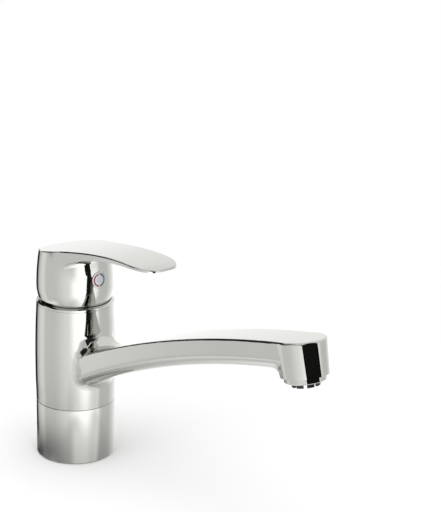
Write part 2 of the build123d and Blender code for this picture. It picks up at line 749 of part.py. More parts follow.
def disc_carrier():
    """Plastic carrier on the moving disc: socket for the spindle's ball, grooves for the rotor's tongues."""
    carrier = cylinder(CARRIER_RADIUS, CARRIER_BOTTOM, CARRIER_TOP)
    socket_side = 2 * (BALL_RADIUS + BALL_GAP)
    carrier -= Pos(0, 0, CARRIER_BOTTOM) * Box(socket_side, socket_side, CARRIER_HEIGHT, align=FROM_BOTTOM)
    for y in peg_places():
        carrier += rod(PEG_RADIUS, (0, y, CARRIER_BOTTOM - PEG_LENGTH), (0, y, CARRIER_BOTTOM))
    groove_floor = TONGUE_BOTTOM - FREE_GAP
    groove_width = TONGUE_WIDTH + 2 * FREE_GAP
    for x in tongue_places():
        groove = Box(groove_width, 2 * CARRIER_RADIUS, CARRIER_TOP - groove_floor, align=FROM_BOTTOM)
        carrier -= Pos(x, 0, groove_floor) * groove
    return Pos(0, DISC_SHIFT, 0) * carrier


def cartridge_housing():
    """Plastic shell of the cartridge: clamping shoulder below, slim neck above."""
    room = FIXED_DISC_RADIUS + FIXED_FIT
    shell = polygon_turned(
        (CARTRIDGE_RADIUS, HOUSING_BOTTOM),
        (CARTRIDGE_RADIUS, SHOULDER_LEVEL),
        (NECK_RADIUS, SHOULDER_LEVEL),
        (NECK_RADIUS, NECK_TOP),
        (NECK_BORE, NECK_TOP),
        (NECK_BORE, FIXED_DISC_TOP),
        (room, FIXED_DISC_TOP),
        (room, HOUSING_BOTTOM),
    )
    key_width = DISC_KEY_WIDTH - 2 * FIXED_FIT
    key = Box(key_width, DISC_KEY_DEPTH, FIXED_DISC_THICKNESS, align=(Align.CENTER, Align.MAX, Align.MIN))
    return shell + Pos(0, room + FREE_GAP, HOUSING_BOTTOM) * key


def cartridge_nut():
    """Brass ring nut on the cartridge's shoulder, with four key slots."""
    nut = tube(NECK_RADIUS + FREE_GAP, NUT_RADIUS, SHOULDER_LEVEL, CUP_TOP)
    for i in range(4):
        slot = Box(NUT_SLOT_WIDTH, NUT_RADIUS, NUT_SLOT_DEPTH, align=(Align.CENTER, Align.MIN, Align.MAX))
        nut -= Rot(0, 0, 45 + 90 * i) * Pos(0, NUT_SLOT_INNER, CUP_TOP) * slot
    return nut


def dome_cover():
    """Domed cover over the cartridge's neck, concentric with the lever's cup."""
    inner = DOME_RADIUS - DOME_WALL
    seat = NECK_RADIUS + PRESS_GAP
    outer_foot = sphere_level(DOME_RADIUS, seat + DOME_WALL)
    inner_foot = sphere_level(inner, seat + DOME_WALL)
    return turned(
        pivot_arc(DOME_RADIUS, DOME_TOP, outer_foot),
        Line((seat + DOME_WALL, outer_foot), (seat, outer_foot)),
        Line((seat, outer_foot), (seat, inner_foot + DOME_COLLAR)),
        Line((seat, inner_foot + DOME_COLLAR), (seat + DOME_WALL, inner_foot + DOME_COLLAR)),
        Line((seat + DOME_WALL, inner_foot + DOME_COLLAR), (seat + DOME_WALL, inner_foot)),
        pivot_arc(inner, inner_foot, DOME_TOP),
        Line((sphere_radius(inner, DOME_TOP), DOME_TOP), (sphere_radius(DOME_RADIUS, DOME_TOP), DOME_TOP)),
    )


def tongue_places():
    """X of the rotor's two tongues, which turn the disc carrier and let it slide."""
    return [-TONGUE_X, TONGUE_X]


def temperature_stop_ring():
    """Ring in the top of the neck; its notch lets the rotor's lug turn between hot and cold."""
    ring = tube(STOP_RING_INNER, NECK_BORE - PRESS_GAP, STOP_RING_BOTTOM, STOP_RING_TOP)
    lug_edge = ROTOR_CROWN_RADIUS + LUG_REACH
    half_angle = TURN_LIMIT + degrees(asin((LUG_WIDTH / 2 + SLOT_GAP) / STOP_RING_INNER))
    inner = STOP_RING_INNER - OVERCUT
    outer = lug_edge + SLOT_GAP
    corners = [
        (inner, STOP_RING_BOTTOM),
        (outer, STOP_RING_BOTTOM),
        (outer, STOP_RING_TOP),
        (inner, STOP_RING_TOP),
    ]
    return ring - sector(corners, half_angle)


def cartridge_rotor():
    """Rotor in the neck: slot for the spindle, bore for the pivot pin, lug for the temperature stop."""
    rotor = cylinder(ROTOR_RADIUS, ROTOR_BOTTOM, STOP_RING_BOTTOM - GLIDE_GAP)
    crown_top = NECK_TOP
    rotor += cylinder(ROTOR_CROWN_RADIUS, STOP_RING_BOTTOM - GLIDE_GAP, crown_top)
    lug = Box(
        LUG_WIDTH,
        ROTOR_CROWN_RADIUS + LUG_REACH,
        crown_top - STOP_RING_BOTTOM + GLIDE_GAP,
        align=(Align.CENTER, Align.MIN, Align.MIN),
    )
    rotor += Pos(0, 0, STOP_RING_BOTTOM - GLIDE_GAP) * lug
    slot_half = SPINDLE_SIDE / 2 + BALL_GAP
    swing = (PIVOT_HEIGHT - ROTOR_BOTTOM) * sin(radians(LEVER_LEAN)) / cos(radians(LEVER_LEAN))
    slot_reach = SPINDLE_NECK / 2 + swing + ARM_ROOM
    head_reach = SPINDLE_SIDE / 2 + HEAD_ROOM
    rotor -= Pos(0, 0, ROTOR_BOTTOM) * Box(
        2 * slot_half, 2 * slot_reach, PIVOT_HEIGHT - ROTOR_BOTTOM, align=FROM_BOTTOM
    )
    head_floor = PIVOT_HEIGHT - SPINDLE_HEEL - HEEL_ROOM
    head_room = Box(2 * slot_half, 2 * head_reach, crown_top - head_floor, align=FROM_BOTTOM)
    rotor -= Pos(0, 0, head_floor) * head_room
    pin_end = ROTOR_RADIUS + OVERCUT
    rotor -= rod(PIN_RADIUS + PIN_GAP, (-pin_end, 0, PIVOT_HEIGHT), (pin_end, 0, PIVOT_HEIGHT))
    for x in tongue_places():
        tongue = Box(TONGUE_WIDTH, 2 * TONGUE_REACH, ROTOR_BOTTOM - TONGUE_BOTTOM, align=FROM_BOTTOM)
        rotor += Pos(x, 0, TONGUE_BOTTOM) * tongue
    return rotor


def pivot_pin():
    """Steel pin across the rotor, on which the spindle tilts."""
    reach = ROTOR_CROWN_RADIUS - FREE_GAP
    return rod(PIN_RADIUS, (-reach, 0, PIVOT_HEIGHT), (reach, 0, PIVOT_HEIGHT))


def lever_spindle():
    """Square spindle with a round lower arm and a ball that drives the disc carrier."""
    head_bottom = -SPINDLE_HEEL
    head = Box(SPINDLE_SIDE, SPINDLE_SIDE, SPINDLE_TOP - head_bottom, align=FROM_BOTTOM)
    head = Pos(0, 0, head_bottom) * chamfer(head.edges().group_by(Axis.Z)[-1], SPINDLE_CHAMFER)
    arm = Pos(0, 0, -BALL_ARM) * Cylinder(SPINDLE_NECK / 2, BALL_ARM + head_bottom, align=FROM_BOTTOM)
    spindle = head + arm + Pos(0, 0, -BALL_ARM) * Sphere(BALL_RADIUS)
    spindle -= rod(PIN_RADIUS + PIN_GAP, (-SPINDLE_SIDE, 0, 0), (SPINDLE_SIDE, 0, 0))
    return SPINDLE * spindle


def lever_top_curve():
    """Long section of the lever's top face, in u and height."""
    return Spline(*LEVER_TOP)


def above_lever(drop):
    """Block above the lever's top face, or above a face a little lower."""
    top = lever_top_curve()
    start, end = top @ 0, top @ 1
    ceiling = LEVER_BLOCK_TOP + 2 * LEVER_EDGE
    outline = [
        top,
        Line((end.X, end.Y), (end.X, ceiling)),
        Line((end.X, ceiling), (start.X, ceiling)),
        Line((start.X, ceiling), (start.X, start.Y)),
    ]
    return Pos(0, 0, -drop) * across(outline, 2 * SKIRT_RADIUS)


def lever_arm():
    """Arm of the lever: its plan outline cut to the underside's curve."""
    edge = Spline(*LEVER_PLAN, tangents=[(-0.1, -1), (-1, 0)])
    root_half, root_y = LEVER_PLAN[0]
    root = Line((-root_half, root_y), (root_half, root_y))
    plan = make_face(Wire([edge, edge.mirror(Plane.YZ), root]))
    slab = Pos(0, 0, PIVOT_HEIGHT) * extrude(plan, LEVER_BLOCK_TOP - PIVOT_HEIGHT)
    start, end = LEVER_UNDER[0], LEVER_UNDER[-1]
    floor = PIVOT_HEIGHT - OVERCUT
    under = [
        Spline(*LEVER_UNDER),
        Line(end, (end[0], floor)),
        Line((end[0], floor), (start[0], floor)),
        Line((start[0], floor), start),
    ]
    return slab - across(under, 2 * SKIRT_RADIUS)


def cup_radius(level):
    """Outer radius of the lever's cup at a level above the pivot."""
    return SKIRT_RADIUS - (level - PIVOT_HEIGHT) ** 2 / (2 * CUP_BULGE_RADIUS)


def cup_solid(offset):
    """The lever's cup between the pivot and its top, as a plain solid, grown outwards by an offset."""
    cup_top = LEVER_BLOCK_TOP
    half_way = (PIVOT_HEIGHT + cup_top) / 2
    return turned(
        ThreePointArc(
            (cup_radius(PIVOT_HEIGHT) + offset, PIVOT_HEIGHT),
            (cup_radius(half_way) + offset, half_way),
            (cup_radius(cup_top) + offset, cup_top),
        ),
        Line((cup_radius(cup_top) + offset, cup_top), (0, cup_top)),
        Line((0, cup_top), (0, PIVOT_HEIGHT)),
        Line((0, PIVOT_HEIGHT), (cup_radius(PIVOT_HEIGHT) + offset, PIVOT_HEIGHT)),
    )


def skirt_solid(sphere, bottom):
    """The ball-shaped lower part of the cup, as a plain solid."""
    return turned(
        pivot_arc(sphere, bottom, PIVOT_HEIGHT),
        Line((sphere, PIVOT_HEIGHT), (0, PIVOT_HEIGHT)),
        Line((0, PIVOT_HEIGHT), (0, bottom)),
        Line((0, bottom), (sphere_radius(sphere, bottom), bottom)),
    )


def spindle_box(side_x, side_y, bottom, top):
    """Box in the leaning spindle's frame."""
    return SPINDLE * Pos(0, 0, bottom) * Box(side_x, side_y, top - bottom, align=FROM_BOTTOM)


def screw_rod(radius, first, last):
    """Rod on the lever screw's axis, between two distances in front of the spindle's axis."""
    return SPINDLE * rod(radius, (0, -first, SCREW_LEVEL), (0, -last, SCREW_LEVEL))


def lever_cavity():
    """Hollow of the lever's cup, less the boss that holds the spindle and the screw."""
    skirt = skirt_solid(SKIRT_BORE, SKIRT_BOTTOM - OVERCUT)
    cavity = skirt + cup_solid(-SKIRT_WALL)
    cavity -= above_lever(ROOF_THICKNESS)
    boss_depth = BUSH_SIDE + 2 * BOSS_WALL
    boss = spindle_box(2 * BOSS_HALF_WIDTH, boss_depth, BOSS_BOTTOM, 2 * SPINDLE_TOP)
    boss += screw_rod(SCREW_TUBE_RADIUS, 0, 2 * SKIRT_RADIUS)
    return cavity - boss


def plug_bore():
    """Stepped bore in the front of the cup for the index plug."""
    front = -SKIRT_RADIUS - OVERCUT
    seat = -cup_radius(PLUG_HEIGHT) + PLUG_FLANGE
    shank_end = seat + PLUG_SHANK_LENGTH + FREE_GAP
    bore = rod(PLUG_SHANK_RADIUS + FIXED_FIT, (0, front, PLUG_HEIGHT), (0, shank_end, PLUG_HEIGHT))
    return bore + rod(PLUG_RADIUS + FIXED_FIT, (0, front, PLUG_HEIGHT), (0, seat, PLUG_HEIGHT))


def is_arm_root(edge):
    """Whether an edge stands between the cup's outside and the arm's sides or underside."""
    low, high = edge.bounding_box().min, edge.bounding_box().max
    upright = high.Z - low.Z > ROOF_THICKNESS and abs(low.X + high.X) > SKIRT_RADIUS and low.Y < -OVERCUT
    crosswise = low.X < -BOSS_HALF_WIDTH and high.X > BOSS_HALF_WIDTH and high.Y < 0
    return upright or crosswise and PIVOT_HEIGHT + VALLEY_BAND < low.Z < high.Z < LEVER_TOP[1][1]


def lever_handle():
    """Lever: a cup that is part of a ball about the pivot below, and a flat arm above the spout."""
    body = skirt_solid(SKIRT_RADIUS, SKIRT_BOTTOM) + cup_solid(0) + lever_arm()
    body = fillet(body.edges().filter_by(is_arm_root), LEVER_BLEND)
    body -= above_lever(0)
    body = fillet(top_face(body).edges(), LEVER_EDGE)
    body -= lever_cavity()
    bush_room = BUSH_SIDE + BUSH_GAP
    body -= spindle_box(bush_room, bush_room, BOSS_BOTTOM - OVERCUT, SPINDLE_TOP + OVERCUT)
    body -= screw_rod(SCREW_RADIUS + GLIDE_GAP, 0, SKIRT_RADIUS - PLUG_SHANK_LENGTH)
    return body - plug_bore()


def spindle_bush():
    """Plastic bush between the spindle and the lever."""
    bush = spindle_box(BUSH_SIDE, BUSH_SIDE, BOSS_BOTTOM + FREE_GAP, SPINDLE_TOP)
    bush -= spindle_box(SPINDLE_SIDE + BUSH_GAP, SPINDLE_SIDE + BUSH_GAP, 0, SPINDLE_TOP + OVERCUT)
    return bush - screw_rod(SCREW_RADIUS + GLIDE_GAP, 0, BUSH_SIDE)


def lever_screw():
    """Set screw that clamps the lever on the spindle, with a hexagon socket."""
    first = SPINDLE_SIDE / 2
    last = first + SCREW_LENGTH
    socket = Plane(origin=(0, -last, SCREW_LEVEL), z_dir=(0, 1, 0)) * RegularPolygon(SCREW_RADIUS / 2, 6)
    return screw_rod(SCREW_RADIUS, first, last) - SPINDLE * extrude(socket, SCREW_SOCKET)


def plug_rod(radius):
    """Rod through the front of the cup on the index plug's axis."""
    return rod(radius, (0, -2 * SKIRT_RADIUS, PLUG_HEIGHT), (0, 0, PLUG_HEIGHT))


def mark_groove():
    """Ring groove on the plug's face, left whole at its top and bottom."""
    ring = plug_rod(MARK_OUTER) - plug_rod(MARK_INNER)
    bridge = Pos(0, -SKIRT_RADIUS, PLUG_HEIGHT) * Box(2 * MARK_SPLIT, 2 * SKIRT_RADIUS, 4 * MARK_OUTER)
    return ring - bridge - cup_solid(PLUG_PROUD - MARK_DEPTH)


def index_centre():
    """Pale disc in the middle of the plug."""
    disc = plug_rod(MARK_INNER - MARK_SPLIT)
    return (disc & cup_solid(PLUG_PROUD)) - cup_solid(PLUG_PROUD - MARK_DEPTH)


def index_plug():
    """Round plug over the lever's screw, its face following the cup."""
    seat = -cup_radius(PLUG_HEIGHT) + PLUG_FLANGE
    face = plug_rod(PLUG_RADIUS) & cup_solid(PLUG_PROUD)
    behind = Box(4 * PLUG_RADIUS, 4 * SKIRT_RADIUS, 4 * PLUG_RADIUS, align=BEHIND)
    face -= Pos(0, seat, PLUG_HEIGHT) * behind
    shank = rod(PLUG_SHANK_RADIUS, (0, seat, PLUG_HEIGHT), (0, seat + PLUG_SHANK_LENGTH, PLUG_HEIGHT))
    shank -= rod(PLUG_SHANK_RADIUS - PLUG_SHANK_WALL, (0, seat + PLUG_FACE, PLUG_HEIGHT), (0, 0, PLUG_HEIGHT))
    centre = plug_rod(MARK_INNER - MARK_SPLIT) - cup_solid(PLUG_PROUD - MARK_DEPTH)
    return face + shank - mark_groove() - centre


def index_mark(side):
    """Half ring of colour on the plug: -1 is the hot side, 1 the cold side."""
    half = Pos(0, 0, PLUG_HEIGHT) * Box(2 * PLUG_RADIUS, 4 * SKIRT_RADIUS, 4 * PLUG_RADIUS, align=RIGHT_SIDE)
    if side < 0:
        half = half.mirror(Plane.YZ)
    return mark_groove() & half & cup_solid(PLUG_PROUD)


def index_mark_red():
    """Hot mark."""
    return index_mark(-1)


def index_mark_blue():
    """Cold mark."""
    return index_mark(1)


BUILDERS = [
    base_sleeve,
    base_gasket,
    valve_body,
    swivel_stop_screw,
    lower_glide_ring,
    upper_glide_ring,
    spout_seals,
    spout_body,
    aerator_housing,
    aerator_insert,
    aerator_screen,
    aerator_seal,
    cap_ring,
    cartridge_base,
    port_seals,
    fixed_disc,
    moving_disc,
    disc_carrier,
    cartridge_housing,
    cartridge_nut,
    dome_cover,
    temperature_stop_ring,
    cartridge_rotor,
    pivot_pin,
    lever_spindle,
    lever_handle,
    spindle_bush,
    lever_screw,
    index_plug,
    index_mark_red,
    index_mark_blue,
    index_centre,
]


def as_compound(made):
    """One shape to write, from a piece or a list of separate pieces."""
    pieces = made if isinstance(made, list) else [made]
    return Compound(children=[solid for piece in pieces for solid in piece.solids()])


def main():
    """Write one STEP file for each piece of the tap."""
    for build in BUILDERS:
        export_step(as_compound(build()), f"parts/{build.__name__}.step")


if __name__ == "__main__":
    main()
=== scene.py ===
"""Looks of a single-lever kitchen mixer tap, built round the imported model.

The tap is polished chrome over brass, on a rubber gasket, with plastic and ceramic inner pieces. Sizes in
the classes are in millimetres and heights are above the worktop. The column's axis is Z, and the spout
points along -Y.
"""

from __future__ import annotations

import logging
import math
from dataclasses import dataclass, field
from enum import Enum

import bmesh
import bpy
from mathutils import Matrix, Vector

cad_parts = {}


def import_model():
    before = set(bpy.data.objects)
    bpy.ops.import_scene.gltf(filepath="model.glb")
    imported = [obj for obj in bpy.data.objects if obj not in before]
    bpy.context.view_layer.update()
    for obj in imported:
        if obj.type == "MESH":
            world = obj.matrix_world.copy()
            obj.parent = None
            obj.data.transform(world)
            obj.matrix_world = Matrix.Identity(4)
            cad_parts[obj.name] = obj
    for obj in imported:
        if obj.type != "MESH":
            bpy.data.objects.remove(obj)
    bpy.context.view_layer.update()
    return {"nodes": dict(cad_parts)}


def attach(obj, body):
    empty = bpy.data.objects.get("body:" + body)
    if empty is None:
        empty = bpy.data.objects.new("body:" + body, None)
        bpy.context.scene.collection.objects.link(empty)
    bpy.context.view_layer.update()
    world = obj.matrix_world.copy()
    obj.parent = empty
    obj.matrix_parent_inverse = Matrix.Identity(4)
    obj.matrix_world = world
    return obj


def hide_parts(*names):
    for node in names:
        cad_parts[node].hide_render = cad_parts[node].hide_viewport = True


LOG = logging.getLogger("mixer_tap")
MM = 0.001
WHITE = (1.0, 1.0, 1.0, 1.0)
MERGE_DISTANCE = 1e-6
SMOOTH_ANGLE = math.radians(28)
TURN_STEPS = 160
BEVEL_SEGMENTS = 3
BEVEL_ANGLE = math.radians(25)
DISC_CORNERS = 96

Point = tuple[float, float]
Place = tuple[float, float, float]


class Body(Enum):
    """The bodies of the tap that pieces made here ride on."""

    ROOT = "root"
    SPOUT = "spout"
    TILT = "tilt"


# Materials


def linear(colour: str) -> tuple[float, float, float, float]:
    """Linear colour from an sRGB hex value.

    Args:
        colour: Six hex digits after a hash sign.

    Returns:
        Red, green, blue and alpha.
    """
    values = [int(colour[i : i + 2], 16) / 255 for i in (1, 3, 5)]
    red, green, blue = (v / 12.92 if v <= 0.04045 else ((v + 0.055) / 1.055) ** 2.4 for v in values)
    return red, green, blue, 1.0


def add_node(
    tree: bpy.types.NodeTree, kind: str, settings: dict | None = None, links: dict | None = None
) -> bpy.types.Node:
    """Add a node with its settings and links.

    Args:
        tree: Node tree to add to.
        kind: Type name of the node, without the ShaderNode prefix.
        settings: Values by the name of an attribute, or by the name or number of an input socket.
        links: Output sockets by the name or number of the input socket that each goes to.

    Returns:
        The new node.
    """
    node = tree.nodes.new("ShaderNode" + kind)
    for key, value in (settings or {}).items():
        if isinstance(key, str) and hasattr(node, key):
            setattr(node, key, value)
        else:
            node.inputs[key].default_value = value
    for key, output in (links or {}).items():
        tree.links.new(output, node.inputs[key])
    return node


def empty_material(name: str) -> tuple[bpy.types.Material, bpy.types.NodeTree]:
    """A material with an empty node tree.

    Args:
        name: Name of the material.

    Returns:
        The material and its tree.
    """
    material = bpy.data.materials.new(name)
    material.use_nodes = True
    material.node_tree.nodes.clear()
    return material, material.node_tree


@dataclass(frozen=True)
class Finish:
    """A surface: its colour, gloss and the fine pattern that its making leaves.

    Over soft patches the colour drifts between two close values, and the roughness by its spread to either
    side. A finer grain, which may be stretched along an axis, gives the bump. Metals keep the default IOR.
    """

    name: str
    slot: str
    colour: str
    patch_colour: str
    roughness: float
    roughness_spread: float
    grain_mm: float
    grain_height_mm: float
    patch_mm: float = 18.0
    metallic: float = 0.0
    ior: float | None = None
    stretch: Place = (1.0, 1.0, 1.0)
    coat: float = 0.0
    patch_detail: float = 3.0
    grain_detail: float = 2.0

    def material(self) -> bpy.types.Material:
        """Build the node material.

        Returns:
            The material, reading Object coordinates.
        """
        material, tree = empty_material(self.name)
        place = add_node(tree, "TexCoord").outputs["Object"]
        grain_place = add_node(tree, "Mapping", {"Scale": self.stretch}, {"Vector": place}).outputs[0]
        patch_settings = {"Scale": 1 / (self.patch_mm * MM), "Detail": self.patch_detail}
        patches = add_node(tree, "TexNoise", patch_settings, {"Vector": place}).outputs[0]
        grain_settings = {"Scale": 1 / (self.grain_mm * MM), "Detail": self.grain_detail}
        grain = add_node(tree, "TexNoise", grain_settings, {"Vector": grain_place}).outputs[0]
        colour_settings = {"data_type": "RGBA", 6: linear(self.colour), 7: linear(self.patch_colour)}
        colour = add_node(tree, "Mix", colour_settings, {0: patches}).outputs[2]
        gloss_settings = {
            "To Min": self.roughness - self.roughness_spread,
            "To Max": self.roughness + self.roughness_spread,
        }
        gloss = add_node(tree, "MapRange", gloss_settings, {"Value": patches}).outputs[0]
        bump_settings = {"Strength": 1.0, "Distance": self.grain_height_mm * MM}
        bump = add_node(tree, "Bump", bump_settings, {"Height": grain}).outputs[0]
        shader_settings = {"Metallic": self.metallic, "Coat Weight": self.coat}
        if self.ior is not None:
            shader_settings["IOR"] = self.ior
        shader_links = {"Base Color": colour, "Roughness": gloss, "Normal": bump}
        shader = add_node(tree, "BsdfPrincipled", shader_settings, shader_links)
        add_node(tree, "OutputMaterial", {}, {"Surface": shader.outputs[0]})
        return material


# Bright chromium over nickel and polished brass: a mirror that gives back a little over half the light,
# faintly warm, with only a breath of haze where it was wiped.
CHROME = Finish(
    name="polished_chrome_plating",
    slot="chrome",
    colour="#C5C6C1",
    patch_colour="#C1C2BD",
    roughness=0.035,
    roughness_spread=0.015,
    grain_mm=3.0,
    grain_height_mm=0.00002,
    metallic=1.0,
)
# The same plating on the domed cover inside the lever, less polished there.
INNER_CHROME = Finish(
    name="plated_cover",
    slot="inner_cover",
    colour="#BDBFC0",
    patch_colour="#B4B6B7",
    roughness=0.12,
    roughness_spread=0.03,
    grain_mm=1.2,
    grain_height_mm=0.0004,
    metallic=1.0,
)
# Cast and turned brass, left bare where water runs: warm yellow, with fine turning marks.
BRASS = Finish(
    name="turned_brass",
    slot="brass",
    colour="#C9A45C",
    patch_colour="#B48F4B",
    roughness=0.28,
    roughness_spread=0.08,
    grain_mm=0.35,
    grain_height_mm=0.004,
    patch_mm=12.0,
    metallic=1.0,
    stretch=(1.0, 1.0, 5.0),
)
# Black nitrile rubber, moulded: matt, with a faint bloom.
RUBBER = Finish(
    name="moulded_rubber",
    slot="rubber",
    colour="#161616",
    patch_colour="#202020",
    roughness=0.72,
    roughness_spread=0.08,
    grain_mm=0.4,
    grain_height_mm=0.006,
    patch_mm=9.0,
    ior=1.52,
)
# Off-white acetal, moulded: waxy and slightly shiny.
GLIDE_PLASTIC = Finish(
    name="acetal_glide",
    slot="glide_plastic",
    colour="#DEDDD4",
    patch_colour="#D4D3CA",
    roughness=0.38,
    roughness_spread=0.06,
    grain_mm=0.5,
    grain_height_mm=0.003,
    patch_mm=10.0,
    ior=1.48,
)
# Light grey nylon with glass fibre: matt, with a fine fibre mottle.
CARTRIDGE_PLASTIC = Finish(
    name="grey_nylon",
    slot="cartridge_plastic",
    colour="#C4C7CA",
    patch_colour="#B5B9BD",
    roughness=0.5,
    roughness_spread=0.07,
    grain_mm=0.3,
    grain_height_mm=0.005,
    patch_mm=4.0,
    ior=1.53,
)
# Blue acetal: the usual moving pieces of a cartridge.
ROTOR_PLASTIC = Finish(
    name="blue_acetal",
    slot="rotor_plastic",
    colour="#34568C",
    patch_colour="#2C4B7D",
    roughness=0.36,
    roughness_spread=0.06,
    grain_mm=0.4,
    grain_height_mm=0.003,
    patch_mm=6.0,
    ior=1.48,
)
# Red acetal: the temperature stop.
STOP_PLASTIC = Finish(
    name="red_acetal",
    slot="stop_plastic",
    colour="#9E2420",
    patch_colour="#8A1E1B",
    roughness=0.36,
    roughness_spread=0.06,
    grain_mm=0.4,
    grain_height_mm=0.003,
    patch_mm=6.0,
    ior=1.48,
)
# Dark polypropylene of the aerator, moulded: satin black.
DARK_PLASTIC = Finish(
    name="dark_moulding",
    slot="dark_plastic",
    colour="#141518",
    patch_colour="#1B1C1F",
    roughness=0.42,
    roughness_spread=0.08,
    grain_mm=0.35,
    grain_height_mm=0.004,
    patch_mm=5.0,
    ior=1.49,
)
# Lapped alumina: dense, even and nearly glazed.
CERAMIC = Finish(
    name="lapped_alumina",
    slot="ceramic",
    colour="#E6E2DA",
    patch_colour="#DEDAD0",
    roughness=0.16,
    roughness_spread=0.04,
    grain_mm=0.25,
    grain_height_mm=0.0008,
    patch_mm=8.0,
    ior=1.76,
)
# Drawn stainless steel: fine lines along the piece.
STEEL = Finish(
    name="drawn_steel",
    slot="steel",
    colour="#A9ABAD",
    patch_colour="#9C9EA0",
    roughness=0.3,
    roughness_spread=0.07,
    grain_mm=0.2,
    grain_height_mm=0.002,
    patch_mm=5.0,
    metallic=1.0,
    stretch=(1.0, 1.0, 0.15),
)
# Red enamel sunk in the index plug: a glassy coat over deep colour.
HOT_ENAMEL = Finish(
    name="hot_enamel",
    slot="mark_red",
    colour="#8A1A31",
    patch_colour="#80162C",
    roughness=0.12,
    roughness_spread=0.04,
    grain_mm=0.6,
    grain_height_mm=0.0006,
    patch_mm=4.0,
    ior=1.5,
    coat=1.0,
)
# Slate blue enamel of the same kind.
COLD_ENAMEL = Finish(
    name="cold_enamel",
    slot="mark_blue",
    colour="#4C6476",
    patch_colour="#465D6F",
    roughness=0.12,
    roughness_spread=0.04,
    grain_mm=0.6,
    grain_height_mm=0.0006,
    patch_mm=4.0,
    ior=1.5,
    coat=1.0,
)
# Pale glossy plastic in the middle of the plug.
PALE_PLASTIC = Finish(
    name="pale_plastic",
    slot="index_white",
    colour="#D9D7E2",
    patch_colour="#CFCDD9",
    roughness=0.14,
    roughness_spread=0.04,
    grain_mm=0.6,
    grain_height_mm=0.0006,
    patch_mm=4.0,
    ior=1.5,
    coat=1.0,
)

# Nodes of the model that keep their own mesh, by finish.
CAD_FINISHES = {
    CHROME: ["spout_body", "lever_handle"],
    INNER_CHROME: ["dome_cover"],
    BRASS: ["cartridge_nut"],
    RUBBER: ["spout_seals", "port_seals", "aerator_seal"],
    GLIDE_PLASTIC: ["lower_glide_ring", "upper_glide_ring", "spindle_bush"],
    CARTRIDGE_PLASTIC: ["cartridge_base", "cartridge_housing"],
    ROTOR_PLASTIC: ["cartridge_rotor", "disc_carrier"],
    STOP_PLASTIC: ["temperature_stop_ring"],
    CERAMIC: ["fixed_disc", "moving_disc"],
    STEEL: ["pivot_pin", "lever_spindle", "lever_screw", "swivel_stop_screw", "aerator_screen"],
}

# Nodes that a smoothly shaded copy stands for: node, name of the copy, body and finish.
SMOOTH_COPIES = [
    ("aerator_housing", "aerator_ring", Body.SPOUT, CHROME),
    ("aerator_insert", "aerator_castle", Body.SPOUT, DARK_PLASTIC),
    ("index_mark_red", "hot_half_ring", Body.TILT, HOT_ENAMEL),
    ("index_mark_blue", "cold_half_ring", Body.TILT, COLD_ENAMEL),
    ("index_centre", "plug_button", Body.TILT, PALE_PLASTIC),
    ("valve_body", "valve_casting", Body.ROOT, BRASS),
]


# Modelling


def select_only(piece: bpy.types.Object) -> None:
    """Select one object and make it active.

    Args:
        piece: The object.
    """
    bpy.ops.object.select_all(action="DESELECT")
    piece.select_set(True)
    bpy.context.view_layer.objects.active = piece


def modify(piece: bpy.types.Object, kind: str, **settings: object) -> None:
    """Add a modifier with its settings and apply it.

    Args:
        piece: Piece to change.
        kind: Type of the modifier.
        settings: Values by the name of the modifier's attribute.
    """
    modifier = piece.modifiers.new(kind.lower(), kind)
    for key, value in settings.items():
        setattr(modifier, key, value)
    select_only(piece)
    bpy.ops.object.modifier_apply(modifier=modifier.name)


def close_and_orient(piece: bpy.types.Object) -> None:
    """Merge points that lie together and turn all faces outwards.

    Args:
        piece: Piece to clean.
    """
    select_only(piece)
    bpy.ops.object.mode_set(mode="EDIT")
    bpy.ops.mesh.select_all(action="SELECT")
    bpy.ops.mesh.remove_doubles(threshold=MERGE_DISTANCE)
    bpy.ops.mesh.normals_make_consistent(inside=False)
    bpy.ops.object.mode_set(mode="OBJECT")


def smooth(piece: bpy.types.Object) -> None:
    """Shade a piece smoothly, except across sharp edges.

    Args:
        piece: Piece to shade.
    """
    select_only(piece)
    bpy.ops.object.shade_smooth_by_angle(angle=SMOOTH_ANGLE)


def turned(name: str, profile: list[Point], round_mm: float) -> bpy.types.Object:
    """Turn a closed outline about Z, as on a lathe, and round its sharp edges.

    Args:
        name: Name of the piece.
        profile: Radius and height of each corner, in millimetres.
        round_mm: Width of the rounding.

    Returns:
        The new piece.
    """
    bpy.ops.object.select_all(action="DESELECT")
    bpy.ops.mesh.primitive_circle_add(vertices=len(profile), fill_type="NOTHING")
    piece = bpy.context.object
    piece.name = piece.data.name = name
    bpy.ops.object.mode_set(mode="EDIT")
    outline = bmesh.from_edit_mesh(piece.data)
    for vertex, (radius, height) in zip(outline.verts, profile):
        vertex.co = Vector((radius, 0, height)) * MM
    bmesh.update_edit_mesh(piece.data)
    bpy.ops.mesh.select_all(action="SELECT")
    bpy.ops.mesh.spin(steps=TURN_STEPS, angle=math.tau, center=(0, 0, 0), axis=(0, 0, 1))
    bpy.ops.object.mode_set(mode="OBJECT")
    close_and_orient(piece)
    modify(
        piece,
        "BEVEL",
        width=round_mm * MM,
        segments=BEVEL_SEGMENTS,
        limit_method="ANGLE",
        angle_limit=BEVEL_ANGLE,
    )
    smooth(piece)
    return piece


